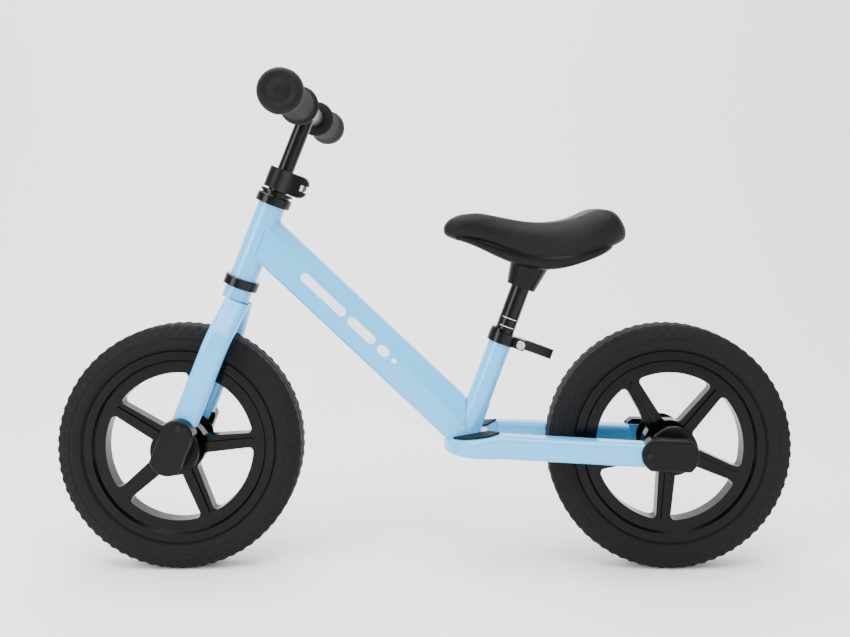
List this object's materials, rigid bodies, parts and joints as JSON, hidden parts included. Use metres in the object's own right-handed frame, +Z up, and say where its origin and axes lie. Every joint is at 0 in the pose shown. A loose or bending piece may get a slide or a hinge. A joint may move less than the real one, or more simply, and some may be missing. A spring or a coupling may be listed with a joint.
{
  "type": "balance bike",
  "caption": "Child's balance bike with a steel frame, straight-legged fork, foam tyres on spoked plastic wheels, footrest, and quick-release seat and handlebar.",
  "frame": {"origin": "on the ground half way between the axles, in the middle plane: bottom centre of the bounding box", "axes": "+Z up, +X towards the rear of the bike, +Y towards the rider's right"},
  "size_m": [0.84, 0.394, 0.5461],
  "materials": {
    "paint_blue": "gloss enamel on steel tube",
    "black_steel": "semi-gloss black coat on steel",
    "clamp_plastic": "satin moulded nylon",
    "zinc_steel": "bright zinc plate",
    "bearing_steel": "ground steel",
    "foam_tyre": "matte closed-cell foam",
    "rim_plastic": "gloss moulded plastic",
    "cover_plastic": "satin moulded plastic",
    "grip_rubber": "soft matte rubber",
    "pad_rubber": "matte grained rubber",
    "saddle_shell": "satin moulded plastic",
    "saddle_skin": "smooth grained soft skin over foam"
  },
  "bodies": {
    "frame": {"head_tube": "paint_blue", "down_tube": "paint_blue", "seat_tube": "paint_blue", "seat_tube_stub": "paint_blue", "stay_left": "paint_blue", "stay_right": "paint_blue", "footrest_bridge": "paint_blue", "footrest_pads": "pad_rubber", "rear_dropouts": "paint_blue", "lower_headset_cup": "black_steel", "upper_headset_cup": "black_steel", "headset_bearings": "bearing_steel", "seat_clamp_band": "black_steel", "seat_clamp_bolt": "zinc_steel", "seat_clamp_nut": "zinc_steel", "seat_lever_pin": "zinc_steel", "rear_axle": "zinc_steel", "rear_axle_nuts": "zinc_steel", "rear_axle_washers": "zinc_steel", "rear_dust_discs": "cover_plastic", "rear_axle_covers": "cover_plastic", "rear_cover_screws": "zinc_steel", "rear_hub_spacer": "zinc_steel"},
    "fork": {"steerer_tube": "black_steel", "fork_crown": "paint_blue", "fork_leg_left": "paint_blue", "fork_leg_right": "paint_blue", "front_dropouts": "paint_blue", "crown_race": "black_steel", "headset_top_race": "black_steel", "headset_locknut": "black_steel", "bar_clamp_band": "clamp_plastic", "bar_clamp_bolt": "zinc_steel", "bar_clamp_nut": "zinc_steel", "bar_lever_pin": "zinc_steel", "front_axle": "zinc_steel", "front_axle_nuts": "zinc_steel", "front_axle_washers": "zinc_steel", "front_dust_discs": "cover_plastic", "front_axle_covers": "cover_plastic", "front_cover_screws": "zinc_steel", "front_hub_spacer": "zinc_steel"},
    "front_wheel": {"front_tyre": "foam_tyre", "front_rim": "rim_plastic", "front_wheel_bearings": "bearing_steel"},
    "rear_wheel": {"rear_tyre": "foam_tyre", "rear_rim": "rim_plastic", "rear_wheel_bearings": "bearing_steel"},
    "handlebar": {"bar_post": "black_steel", "crossbar": "black_steel", "grip_left": "grip_rubber", "grip_right": "grip_rubber"},
    "seat": {"seat_post": "black_steel", "saddle_base": "saddle_shell", "saddle_cushion": "saddle_skin", "saddle_screw": "zinc_steel"},
    "bar_lever": {"bar_lever": "clamp_plastic"},
    "seat_lever": {"seat_lever": "black_steel"}
  },
  "joints": [
    {"name": "steering", "type": "hinge", "parent": "frame", "child": "fork", "pos_m": [-0.19344, 0, 0.37459], "axis": [0.3649, 0, 0.9311], "range_deg": [-90, 90]},
    {"name": "front_wheel_spin", "type": "hinge", "parent": "fork", "child": "front_wheel", "pos_m": [-0.28, 0, 0.14], "axis": [0, 1, 0], "continuous": true},
    {"name": "rear_wheel_spin", "type": "hinge", "parent": "frame", "child": "rear_wheel", "pos_m": [0.28, 0, 0.14], "axis": [0, 1, 0], "continuous": true},
    {"name": "bar_height", "type": "slide", "parent": "fork", "child": "handlebar", "axis": [0.3649, 0, 0.9311], "range_m": [-0.045, 0.03]},
    {"name": "seat_height", "type": "slide", "parent": "frame", "child": "seat", "axis": [0.3486, 0, 0.9373], "range_m": [-0.045, 0.02]},
    {"name": "bar_lever_swing", "type": "hinge", "parent": "fork", "child": "bar_lever", "pos_m": [-0.14298, -0.0186, 0.43591], "axis": [0.3649, 0, 0.9311], "range_deg": [0, 120]},
    {"name": "seat_lever_swing", "type": "hinge", "parent": "frame", "child": "seat_lever", "pos_m": [0.1106, 0.0122, 0.25472], "axis": [0.3486, 0, 0.9373], "range_deg": [0, 120]}
  ]
}
